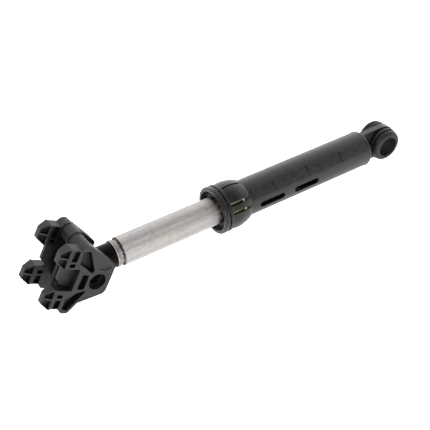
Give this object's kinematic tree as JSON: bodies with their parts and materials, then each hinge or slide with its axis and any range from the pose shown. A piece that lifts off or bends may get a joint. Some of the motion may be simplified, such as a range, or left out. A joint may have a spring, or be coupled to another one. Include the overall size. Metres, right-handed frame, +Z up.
{
  "type": "washing machine friction damper",
  "caption": "Friction damper for a washing machine drum: clip-in clevis foot, steel ram tube, black moulded sleeve with slotted collar and rubber-bushed eye",
  "frame": {"origin": "centre of the bore in the sleeve's eye", "axes": "+X along the damper from the foot to the eye, +Y along the eye and pivot bores, +Z up"},
  "size_m": [0.3017, 0.0358, 0.0514],
  "materials": {
    "black_plastic": "satin moulded",
    "dark_plastic": "satin moulded",
    "amber_plastic": "natural moulded",
    "tube_steel": "dull drawn",
    "pin_steel": "rolled",
    "foam": "greased open foam",
    "bush_rubber": "moulded"
  },
  "bodies": {
    "root": {"sleeve": "black_plastic", "collar": "black_plastic", "lining_carrier": "amber_plastic", "friction_lining": "foam", "mouth_guide": "dark_plastic", "eye_bush": "bush_rubber", "bump_stop": "bush_rubber"},
    "guide": {"inner_guide": "dark_plastic"},
    "ram": {"ram_tube": "tube_steel", "rod_end": "dark_plastic", "pivot_bush": "dark_plastic"},
    "foot": {"foot_bracket": "black_plastic", "pivot_pin": "pin_steel"}
  },
  "joints": [
    {"name": "ram_slide", "type": "slide", "parent": "root", "child": "guide", "axis": [1, 0, 0], "range_m": [-0.036, 0.064]},
    {"name": "ram_twist", "type": "hinge", "parent": "guide", "child": "ram", "pos_m": [-0.0955, 0, 0], "axis": [1, 0, 0], "continuous": true},
    {"name": "foot_swing", "type": "hinge", "parent": "ram", "child": "foot", "pos_m": [-0.25, 0, 0], "axis": [0, 1, 0], "range_deg": [-120, 60]}
  ]
}
